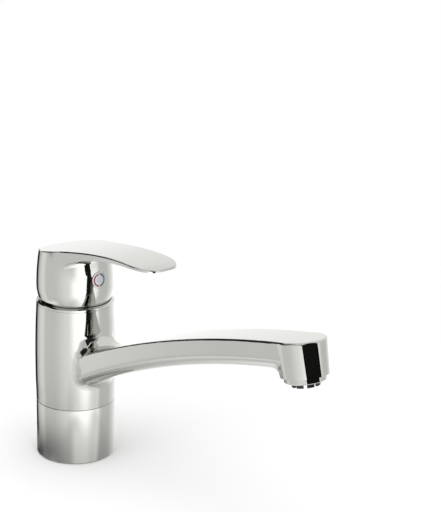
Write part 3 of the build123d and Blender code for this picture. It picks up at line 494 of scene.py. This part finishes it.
@dataclass
class Tap:
    """The loaded model and the pieces made round it."""

    nodes: dict[str, bpy.types.Object]
    materials: dict[Finish, bpy.types.Material] = field(default_factory=dict)

    def material(self, finish: Finish) -> bpy.types.Material:
        """The material of a finish, made once.

        Args:
            finish: The finish.

        Returns:
            Its material.
        """
        if finish not in self.materials:
            self.materials[finish] = finish.material()
        return self.materials[finish]

    def dress(self, node: str, finish: Finish) -> None:
        """Give a node of the model a finish.

        Args:
            node: Name of the node.
            finish: Its surface.
        """
        data = self.nodes[node].data
        data.materials.clear()
        data.materials.append(self.material(finish))
        LOG.info("dressed %s", node)

    def copy_of(self, node: str, name: str) -> bpy.types.Object:
        """Merged and smoothly shaded copy of a node.

        Args:
            node: Name of the node.
            name: Name of the copy.

        Returns:
            The copy, free of any parent.
        """
        piece = self.nodes[node].copy()
        piece.data = piece.data.copy()
        piece.parent = None
        piece.matrix_world = Matrix.Identity(4)
        for key in list(piece.keys()):
            del piece[key]
        piece.name = piece.data.name = name
        bpy.context.scene.collection.objects.link(piece)
        select_only(piece)
        bpy.ops.mesh.customdata_custom_splitnormals_clear()
        close_and_orient(piece)
        smooth(piece)
        return piece

    def fit(self, piece: bpy.types.Object, body: Body, finish: Finish, replaces: str) -> None:
        """Finish a piece and make it ride on its body.

        Args:
            piece: The piece, at its place.
            body: Body that it moves with.
            finish: Its surface.
            replaces: Node that it stands for.
        """
        piece.data.materials.clear()
        piece.data.materials.append(self.material(finish))
        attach(piece, body.value)
        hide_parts(replaces)
        LOG.info("fitted %s on %s", piece.name, body.value)


# The tap


@dataclass(frozen=True)
class ColumnBase:
    """Fixed chromed column on its rubber gasket."""

    radius: float = 28.0
    bore: float = 26.0
    height: float = 40.3
    foot: float = 0.6
    pocket_top: float = 3.0
    flange_top: float = 5.0
    flange_bore: float = 21.6
    pocket: float = 26.5
    shelf_bottom: float = 28.0
    shelf_top: float = 32.0
    shelf_bore: float = 17.0
    sleeve_edge: float = 0.25
    gasket_outer: float = 26.2
    gasket_inner: float = 22.6
    gasket_edge: float = 0.1
    rib_count: int = 3
    rib_height: float = 0.5
    rib_slope: float = 0.2
    rib_span: Point = (0.1, 0.9)

    def sleeve(self) -> bpy.types.Object:
        """Tube with an inner shelf and a foot flange over the gasket.

        Returns:
            The tube.
        """
        profile = [
            (self.radius, self.foot),
            (self.radius, self.height),
            (self.bore, self.height),
            (self.bore, self.shelf_top),
            (self.shelf_bore, self.shelf_top),
            (self.shelf_bore, self.shelf_bottom),
            (self.bore, self.shelf_bottom),
            (self.bore, self.flange_top),
            (self.flange_bore, self.flange_top),
            (self.flange_bore, self.pocket_top),
            (self.pocket, self.pocket_top),
            (self.pocket, self.foot),
        ]
        return turned("column_sleeve", profile, self.sleeve_edge)

    def gasket(self) -> bpy.types.Object:
        """Rubber ring with sealing ribs on its underside, each across the span of its share of the width.

        Returns:
            The ring.
        """
        pitch = (self.gasket_outer - self.gasket_inner) / self.rib_count
        top, foot, slope = self.pocket_top, self.rib_height, self.rib_slope
        profile = [(self.gasket_inner, top), (self.gasket_inner, foot)]
        for i in range(self.rib_count):
            left, right = (self.gasket_inner + pitch * (i + share) for share in self.rib_span)
            profile += [(left, foot), (left + slope, 0.0), (right - slope, 0.0), (right, foot)]
        profile += [(self.gasket_outer, foot), (self.gasket_outer, top)]
        return turned("ribbed_gasket", profile, self.gasket_edge)

    def build(self, tap: Tap) -> None:
        """Make and fit the pieces.

        Args:
            tap: Tap that they belong to.
        """
        tap.fit(self.sleeve(), Body.ROOT, CHROME, "base_sleeve")
        tap.fit(self.gasket(), Body.ROOT, RUBBER, "base_gasket")


@dataclass(frozen=True)
class CapShoulder:
    """Fixed ring over the swivelling body, hollowed about the pivot for the lever's cup.

    Its foot comes close to the body, so that no parting line shows.
    """

    bore: float = 21.6
    wall: float = 24.9
    rim: float = 27.3
    bottom: float = 98.0
    foot: float = 111.68
    foot_top: float = 113.3
    mouth_top: float = 114.2
    pivot_height: float = 125.0
    mouth_ball: float = 27.5
    arc_steps: int = 14
    edge: float = 0.05

    def build(self, tap: Tap) -> None:
        """Make and fit the ring.

        Args:
            tap: Tap that it belongs to.
        """
        start = math.acos((self.pivot_height - self.mouth_top) / self.mouth_ball)
        end = math.asin(self.bore / self.mouth_ball)
        profile = []
        for i in range(self.arc_steps + 1):
            angle = start + (end - start) * i / self.arc_steps
            height = self.pivot_height - self.mouth_ball * math.cos(angle)
            profile.append((self.mouth_ball * math.sin(angle), height))
        profile += [
            (self.bore, self.bottom),
            (self.wall, self.bottom),
            (self.wall, self.foot),
            (self.rim, self.foot),
            (self.rim, self.foot_top),
        ]
        tap.fit(turned("cap_shoulder", profile, self.edge), Body.ROOT, CHROME, "cap_ring")


@dataclass(frozen=True)
class PlugRim:
    """Chromed index plug, with a narrow shadow gap left round it in the lever's seat.

    What lies beyond the rim's share of the full radius is its rim, and is drawn in to the new radius.
    """

    height: float = 133.5
    full_radius: float = 5.7
    rim_share: float = 0.98
    radius: float = 4.97

    def build(self, tap: Tap) -> None:
        """Make and fit the plug.

        Args:
            tap: Tap that it belongs to.
        """
        rim = tap.copy_of("index_plug", "plug_rim")
        bpy.ops.object.mode_set(mode="EDIT")
        mesh = bmesh.from_edit_mesh(rim.data)
        axis = Vector((0, 0, self.height)) * MM
        for vertex in mesh.verts:
            arm = vertex.co - axis
            reach = math.hypot(arm.x, arm.z)
            if reach > self.rim_share * self.full_radius * MM:
                share = self.radius * MM / reach
                vertex.co.x = arm.x * share
                vertex.co.z = axis.z + arm.z * share
        bmesh.update_edit_mesh(rim.data)
        bpy.ops.object.mode_set(mode="OBJECT")
        smooth(rim)
        tap.fit(rim, Body.TILT, CHROME, "index_plug")


# Stage


def only_in_reflections(panel: bpy.types.Object) -> None:
    """Hide a piece from the camera, from diffuse light and from shadows, so that only reflections see it.

    Args:
        panel: The piece.
    """
    panel.visible_camera = False
    panel.visible_diffuse = False
    panel.visible_shadow = False


@dataclass(frozen=True)
class Sheet:
    """One soft sheet of the light tent, a patch of azimuth and elevation.

    It runs from a start to an end azimuth, in degrees about the column, 0 in front of it and 90 on its
    right, and its fades are the widths of its soft sides beyond them. Elevations are in degrees above the
    horizon: a sheet fades in over the low pair and out over the high pair. A level of 1 is white paper.
    """

    name: str
    start: float
    end: float
    fades: Point
    level: float
    low: Point | None = None
    high: Point | None = None

    def share(
        self, tree: bpy.types.NodeTree, azimuth: bpy.types.NodeSocket, elevation: bpy.types.NodeSocket
    ) -> bpy.types.NodeSocket:
        """How much of the sheet shows at a place on the tent.

        Args:
            tree: Node tree of the tent's material.
            azimuth: Azimuth of the place, in radians.
            elevation: Elevation of the place, in radians.

        Returns:
            A value, 1 on the sheet and 0 beyond its fades.
        """
        middle = math.radians((self.start + self.end) / 2)
        half = (self.end - self.start) / 2
        offset = add_node(tree, "Math", {"operation": "SUBTRACT", 1: middle}, {0: azimuth}).outputs[0]
        round_turn = {"operation": "WRAP", 1: -math.pi, 2: math.pi}
        turn = add_node(tree, "Math", round_turn, {0: offset}).outputs[0]
        edges = [(turn, -half - self.fades[0], -half, True), (turn, half, half + self.fades[1], False)]
        if self.low:
            edges.append((elevation, *self.low, True))
        if self.high:
            edges.append((elevation, *self.high, False))
        share = None
        for value, start, end, rising in edges:
            settings = {
                "label": self.name,
                "interpolation_type": "SMOOTHSTEP",
                "From Min": math.radians(start),
                "From Max": math.radians(end),
                "To Min": 0.0 if rising else 1.0,
                "To Max": 1.0 if rising else 0.0,
            }
            links = {"Value": value}
            if share:
                links["To Max" if rising else "To Min"] = share
            share = add_node(tree, "MapRange", settings, links).outputs[0]
        return share


@dataclass(frozen=True)
class LightTent:
    """Wide tent of soft sheets and black cloth about the tap, that only reflections see.

    The sheets are laid over each other in order.
    """

    radius: float = 2500.0
    middle: float = 110.0
    segments: int = 96
    rings: int = 48
    base_level: float = 0.9
    sheets: tuple[Sheet, ...] = (
        Sheet("left_strip", -153, -143, (12, 12), 1.12),
        Sheet("rear_floor", -200, -120, (30, 30), 1.4, high=(-42, -34)),
        Sheet("key_glow", -50, -14, (55, 55), 1.22, high=(-10, 2)),
        Sheet("key_right", -4, 24, (16, 16), 1.55, high=(-8, 4)),
        Sheet("key_box", -35, -11, (24, 24), 1.9, high=(-12, -6)),
        Sheet("key_top", -23, -7, (26, 26), 1.9, low=(-14, -8), high=(2, 12)),
        Sheet("right_shade", 50, 66, (15, 15), 0.84, low=(-40, -30)),
        Sheet("right_box", 112, 145, (45, 8), 1.36),
        Sheet("black_roof", -180, 180, (1, 1), 0.02, low=(14, 21)),
        Sheet("left_roof", -175, -118, (6, 12), 0.02, low=(-3, 5)),
        Sheet("upper_left_sheet", -95, -34, (20, 12), 0.8, low=(14, 20)),
        Sheet("upper_right_sheet", 38, 132, (30, 10), 1.1, low=(14, 20)),
        Sheet("high_rear_sheet", 120, 200, (20, 20), 1.1, low=(36, 44)),
        Sheet("upper_rear_sheet", 107, 150, (8, 6), 1.17, low=(-6, -2), high=(26, 32)),
        Sheet("rear_side_sheet", 137, 147, (4, 3), 1.17, low=(-26, -20), high=(0, 6)),
        Sheet("rear_cloth", 149, 172, (2, 22), 0.0, low=(-30, -25), high=(-2, 4)),
        Sheet("zenith_sheet", -180, 180, (1, 1), 1.0, low=(62, 76)),
    )

    def material(self) -> bpy.types.Material:
        """Light of the sheets, worked out from the place on the tent.

        Returns:
            A glowing material.
        """
        material, tree = empty_material("tent_sheets")
        place = add_node(tree, "TexCoord").outputs["Object"]
        parts = add_node(tree, "SeparateXYZ", {}, {0: place}).outputs
        front = add_node(tree, "Math", {"operation": "MULTIPLY", 1: -1.0}, {0: parts[1]}).outputs[0]
        azimuth = add_node(tree, "Math", {"operation": "ARCTAN2"}, {0: parts[0], 1: front}).outputs[0]
        flat = add_node(tree, "VectorMath", {"operation": "MULTIPLY", 1: (1, 1, 0)}, {0: place}).outputs[0]
        reach = add_node(tree, "VectorMath", {"operation": "LENGTH"}, {0: flat}).outputs["Value"]
        elevation = add_node(tree, "Math", {"operation": "ARCTAN2"}, {0: parts[2], 1: reach}).outputs[0]
        level = None
        for sheet in self.sheets:
            settings = {"data_type": "FLOAT", 2: self.base_level, 3: sheet.level}
            links = {0: sheet.share(tree, azimuth, elevation)}
            if level:
                links[2] = level
            level = add_node(tree, "Mix", settings, links).outputs[0]
        light = add_node(tree, "Emission", {"Color": WHITE}, {"Strength": level})
        add_node(tree, "OutputMaterial", {}, {"Surface": light.outputs[0]})
        return material

    def build(self) -> None:
        """Make the tent."""
        bpy.ops.object.select_all(action="DESELECT")
        bpy.ops.mesh.primitive_uv_sphere_add(
            segments=self.segments,
            ring_count=self.rings,
            radius=self.radius * MM,
            location=(0, 0, self.middle * MM),
        )
        tent = bpy.context.object
        tent.name = tent.data.name = "light_tent"
        tent.data.materials.append(self.material())
        only_in_reflections(tent)


@dataclass(frozen=True)
class Shade:
    """Soft oval of painted shadow, standing for the shade that the tap casts on the ground, as its foot
    reflects it.

    The oval lies at a place, turned about Z so that its length points along an azimuth, and it thins out
    from its middle with a given power of the distance.
    """

    name: str
    place: Place
    azimuth: float
    length: float
    width: float
    depth: float
    power: float

    def cover(self, tree: bpy.types.NodeTree, place: bpy.types.NodeSocket) -> bpy.types.NodeSocket:
        """How much light the shade takes at a place on the ground.

        Args:
            tree: Node tree of the painted shadow's material.
            place: The place.

        Returns:
            A value, the shade's depth at its middle and 0 far from it.
        """
        settings = {
            "label": self.name,
            "vector_type": "TEXTURE",
            "Location": Vector(self.place) * MM,
            "Rotation": (0, 0, math.radians(self.azimuth)),
            "Scale": (self.width * MM, self.length * MM, 1),
        }
        spot = add_node(tree, "Mapping", settings, {"Vector": place}).outputs[0]
        apart = add_node(tree, "VectorMath", {"operation": "LENGTH"}, {0: spot}).outputs["Value"]
        thinned = add_node(tree, "Math", {"operation": "POWER", 1: self.power}, {0: apart}).outputs[0]
        fall = add_node(tree, "Math", {"operation": "MULTIPLY", 1: -1.0}, {0: thinned}).outputs[0]
        left = add_node(tree, "Math", {"operation": "EXPONENT"}, {0: fall}).outputs[0]
        return add_node(tree, "Math", {"operation": "MULTIPLY", 1: self.depth}, {0: left}).outputs[0]


@dataclass(frozen=True)
class GroundShade:
    """Thin dark sheet on the ground, that only reflections see: painted shadow of the tap."""

    radius: float = 420.0
    height: float = 0.4
    # Painted shadow: dark ovals standing for the tap's shade on the ground, seen only in reflections.
    shades: tuple[Shade, ...] = (
        Shade("round_the_foot", (-24, 12, 0), 0, 44, 50, 0.93, 1.0),
        Shade("left_of_the_spout", (-82, -102, 0), -40, 110, 40, 0.36, 2.0),
        Shade("under_the_spout", (32, -130, 0), 18, 110, 34, 0.25, 2.0),
    )

    def material(self) -> bpy.types.Material:
        """Clear sheet, darkened by the painted shade of the ovals.

        Returns:
            The material.
        """
        material, tree = empty_material("painted_ground_shadow")
        place = add_node(tree, "TexCoord").outputs["Object"]
        black = add_node(tree, "Emission", {"Strength": 0.0}).outputs[0]
        painted_shadow = add_node(tree, "BsdfTransparent").outputs[0]
        # Each oval paints shade over the clear sheet, as black emission.
        for shade in self.shades:
            cover = shade.cover(tree, place)
            painted_shadow = add_node(tree, "MixShader", {}, {0: cover, 1: painted_shadow, 2: black}).outputs[0]
        add_node(tree, "OutputMaterial", {}, {"Surface": painted_shadow})
        return material

    def build(self) -> None:
        """Make the painted shadow sheet."""
        bpy.ops.object.select_all(action="DESELECT")
        bpy.ops.mesh.primitive_circle_add(
            vertices=DISC_CORNERS,
            radius=self.radius * MM,
            fill_type="NGON",
            location=(0, 0, self.height * MM),
        )
        painted_shadow = bpy.context.object
        painted_shadow.name = painted_shadow.data.name = "painted_ground_shade"
        painted_shadow.data.materials.append(self.material())
        only_in_reflections(painted_shadow)


@dataclass(frozen=True)
class NozzleFlag:
    """Small upright black cloth close to the nozzle, that only reflections see.

    Each corner is a place across, along X, and a height.
    """

    y: float = -270.0
    corners: tuple[Point, ...] = ((-36.0, 104.0), (28.0, 104.0), (9.0, 180.0), (-84.0, 180.0))
    level: float = 0.01

    def build(self) -> None:
        """Make the cloth."""
        bpy.ops.object.select_all(action="DESELECT")
        bpy.ops.mesh.primitive_circle_add(vertices=len(self.corners), fill_type="NGON")
        flag = bpy.context.object
        flag.name = flag.data.name = "nozzle_flag"
        bpy.ops.object.mode_set(mode="EDIT")
        cloth = bmesh.from_edit_mesh(flag.data)
        for vertex, (across, height) in zip(cloth.verts, self.corners):
            vertex.co = Vector((across, self.y, height)) * MM
        bmesh.update_edit_mesh(flag.data)
        bpy.ops.object.mode_set(mode="OBJECT")
        material, tree = empty_material("black_cloth")
        black = add_node(tree, "Emission", {"Color": WHITE, "Strength": self.level})
        add_node(tree, "OutputMaterial", {}, {"Surface": black.outputs[0]})
        flag.data.materials.append(material)
        only_in_reflections(flag)


@dataclass(frozen=True)
class Floor:
    """White round floor that keeps the tap's shadow and fades into the white behind it.

    The fade runs between two shares of the radius.
    """

    radius: float = 700.0
    place: Place = (0.0, -100.0, -0.02)
    colour: str = "#FAFAFA"
    fade: Point = (0.30, 0.9)

    def build(self) -> None:
        """Make the floor, which reflections don't see."""
        bpy.ops.object.select_all(action="DESELECT")
        bpy.ops.mesh.primitive_circle_add(
            vertices=DISC_CORNERS,
            radius=self.radius * MM,
            fill_type="NGON",
            location=Vector(self.place) * MM,
        )
        floor = bpy.context.object
        floor.name = floor.data.name = "floor"
        material, tree = empty_material("floor_paper")
        paper = add_node(tree, "BsdfDiffuse", {"Color": linear(self.colour)}).outputs[0]
        glow = add_node(tree, "Emission", {"Color": WHITE, "Strength": 1.0}).outputs[0]
        place = add_node(tree, "TexCoord").outputs["Object"]
        distance = add_node(tree, "VectorMath", {"operation": "LENGTH"}, {0: place}).outputs["Value"]
        start, end = (share * self.radius * MM for share in self.fade)
        settings = {"From Min": start, "From Max": end}
        fade = add_node(tree, "MapRange", settings, {"Value": distance}).outputs[0]
        mixed = add_node(tree, "MixShader", {}, {0: fade, 1: paper, 2: glow}).outputs[0]
        add_node(tree, "OutputMaterial", {}, {"Surface": mixed})
        floor.data.materials.append(material)
        floor.visible_glossy = False


@dataclass(frozen=True)
class Softbox:
    """Square lamp aimed at the tap. The tent takes its place in reflections."""

    name: str
    place: Place
    size: float
    power: float
    aim: Place = (0.0, -80.0, 80.0)

    def build(self) -> None:
        """Make the lamp."""
        bpy.ops.object.light_add(type="AREA", location=Vector(self.place) * MM)
        lamp = bpy.context.object
        lamp.name = lamp.data.name = self.name
        lamp.data.size = self.size * MM
        lamp.data.energy = self.power
        beam = Vector(self.aim) * MM - lamp.location
        lamp.rotation_mode = "QUATERNION"
        lamp.rotation_quaternion = beam.to_track_quat("-Z", "Y")
        lamp.visible_glossy = False


@dataclass(frozen=True)
class Studio:
    """White floor and surroundings, soft lamps, and what the chrome reflects."""

    world_light: float = 0.9
    lamps: tuple[Softbox, ...] = (
        Softbox("top_lamp", (-200, -300, 1100), 900, 3.0),
        Softbox("left_lamp", (-900, 100, 600), 700, 1.5),
    )

    def surroundings(self) -> None:
        """White world that the camera and reflections see, with a softer light of its own."""
        world = bpy.data.worlds.new("white_studio")
        world.use_nodes = True
        tree = world.node_tree
        tree.nodes.clear()
        path = add_node(tree, "LightPath").outputs
        seen = path["Is Camera Ray"]
        for ray in (path["Is Glossy Ray"], path["Is Transmission Ray"]):
            seen = add_node(tree, "Math", {"operation": "MAXIMUM"}, {0: seen, 1: ray}).outputs[0]
        light = add_node(tree, "Background", {"Color": WHITE, "Strength": self.world_light}).outputs[0]
        white = add_node(tree, "Background", {"Color": WHITE, "Strength": 1.0}).outputs[0]
        mixed = add_node(tree, "MixShader", {}, {0: seen, 1: light, 2: white}).outputs[0]
        add_node(tree, "OutputWorld", {}, {"Surface": mixed})
        bpy.context.scene.world = world

    def build(self) -> None:
        """Set up the whole stage."""
        self.surroundings()
        Floor().build()
        NozzleFlag().build()
        LightTent().build()
        # Painted shadow of the tap on the ground, seen only in reflections.
        GroundShade().build()
        for lamp in self.lamps:
            lamp.build()
        bpy.context.scene.view_settings.view_transform = "Standard"
        LOG.info("stage built")


@dataclass(frozen=True)
class PhotoCamera:
    """Camera at the photograph's place, turned and rolled as it was.

    Its azimuth and elevation, in degrees, point back from the view towards the camera.
    """

    place: Place = (-477.2, -639.0, 370.4)
    azimuth: float = -42.71
    elevation: float = 14.54
    roll: float = 1.21
    lens: float = 83.38
    sensor: float = 36.0
    shift: Point = (0.05, -0.05)

    def build(self) -> None:
        """Make the camera and use it."""
        bpy.ops.object.camera_add(location=Vector(self.place) * MM)
        camera = bpy.context.object
        camera.name = "photo_camera"
        azimuth, elevation = math.radians(self.azimuth), math.radians(self.elevation)
        back = Vector(
            (
                math.sin(azimuth) * math.cos(elevation),
                -math.cos(azimuth) * math.cos(elevation),
                math.sin(elevation),
            )
        )
        roll = Matrix.Rotation(math.radians(self.roll), 3, "Z")
        turn = (-back).to_track_quat("-Z", "Y").to_matrix() @ roll
        camera.rotation_euler = turn.to_euler()
        camera.data.lens = self.lens
        camera.data.sensor_width = self.sensor
        camera.data.shift_x, camera.data.shift_y = self.shift
        bpy.context.scene.camera = camera
        LOG.info("camera at %s mm", self.place)


def main() -> None:
    """Build the tap's looks and its stage."""
    logging.basicConfig(level=logging.INFO, format="%(message)s")
    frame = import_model()
    tap = Tap(frame["nodes"])
    for finish, nodes in CAD_FINISHES.items():
        for node in nodes:
            tap.dress(node, finish)
    ColumnBase().build(tap)
    CapShoulder().build(tap)
    for node, name, body, finish in SMOOTH_COPIES:
        tap.fit(tap.copy_of(node, name), body, finish, node)
    PlugRim().build(tap)
    Studio().build()
    PhotoCamera().build()


if __name__ == "__main__":
    main()
